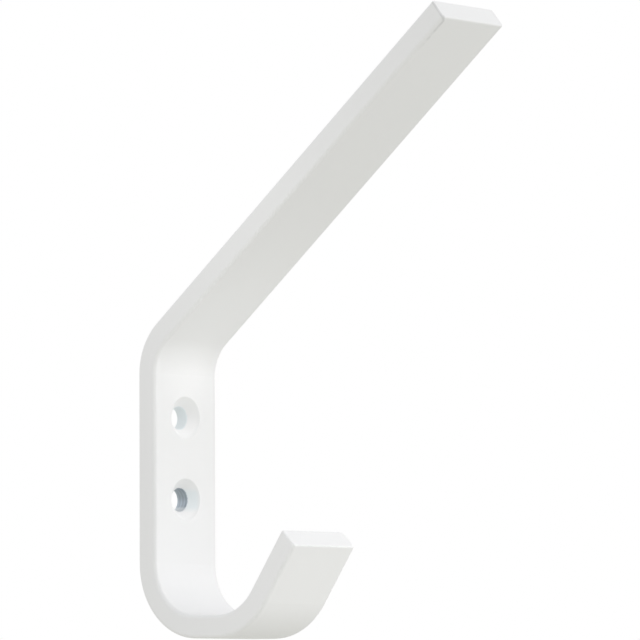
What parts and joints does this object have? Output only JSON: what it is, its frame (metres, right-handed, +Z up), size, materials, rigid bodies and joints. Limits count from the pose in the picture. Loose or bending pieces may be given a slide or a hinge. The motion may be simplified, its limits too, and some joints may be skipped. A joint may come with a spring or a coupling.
{
  "type": "coat hook",
  "caption": "One-piece wall hook bent from a white-coated flat bar: a long slanting arm for a hat or coat above, a short J for a loop below, and countersunk screw holes in the plate between.",
  "frame": {"origin": "midway between the two screw holes, on the plate's back face, which lies against the wall", "axes": "+Z up, +Y into the wall, so the arm and the J reach out towards -Y, and X across the bar's width"},
  "size_m": [0.02, 0.0874, 0.1322],
  "materials": {
    "white_coat": "satin"
  },
  "bodies": {
    "root": {"hook": "white_coat"}
  },
  "joints": []
}
